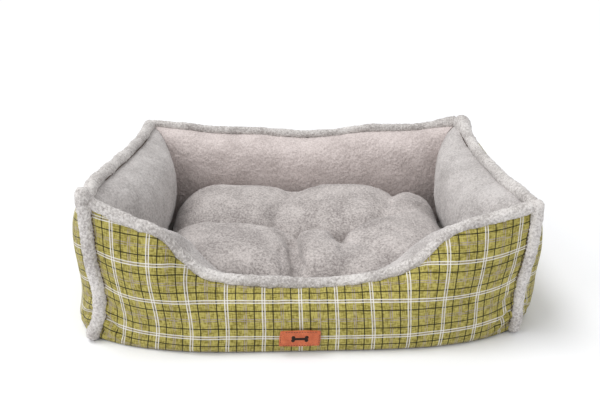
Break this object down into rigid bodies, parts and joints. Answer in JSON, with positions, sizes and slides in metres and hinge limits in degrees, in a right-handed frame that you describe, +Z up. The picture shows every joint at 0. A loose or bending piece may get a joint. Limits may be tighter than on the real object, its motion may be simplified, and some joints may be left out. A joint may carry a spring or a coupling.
{
  "type": "pet cushion bed",
  "caption": "Rectangular pet bed with stuffed plaid and plush walls, a dipped front entrance, plush bindings, a blank label patch and a loose tufted cushion.",
  "frame": {"origin": "centre of the bed's base, on the surface it stands on", "axes": "+X along the long side to the right of a pet facing out, +Y from the entrance towards the back wall, +Z up"},
  "size_m": [0.6552, 0.5209, 0.213],
  "materials": {
    "plaid": "matte",
    "plush": "matte",
    "binding": "matte",
    "lining": "matte",
    "wadding": "matte",
    "label": "satin",
    "thread": "satin"
  },
  "bodies": {
    "bed": {"underside_sheet": "lining", "floor_lining": "lining", "front_outer_panel": "plaid", "right_outer_panel": "plaid", "back_outer_panel": "plaid", "left_outer_panel": "plaid", "front_inner_panel": "plush", "right_inner_panel": "plush", "back_inner_panel": "plush", "left_inner_panel": "plush", "front_filling": "wadding", "right_filling": "wadding", "back_filling": "wadding", "left_filling": "wadding", "front_top_binding": "binding", "right_top_binding": "binding", "back_top_binding": "binding", "left_top_binding": "binding", "front_right_corner_binding": "binding", "back_right_corner_binding": "binding", "back_left_corner_binding": "binding", "front_left_corner_binding": "binding", "label_patch": "label", "label_stitching": "thread"},
    "cushion": {"cushion_cover_top": "plush", "cushion_cover_underside": "lining", "cushion_filling": "wadding", "tuft_ties": "thread"}
  },
  "joints": [
    {"name": "cushion_lift", "type": "slide", "parent": "bed", "child": "cushion", "axis": [0, 0, 1], "range_m": [0, 0.3]}
  ]
}
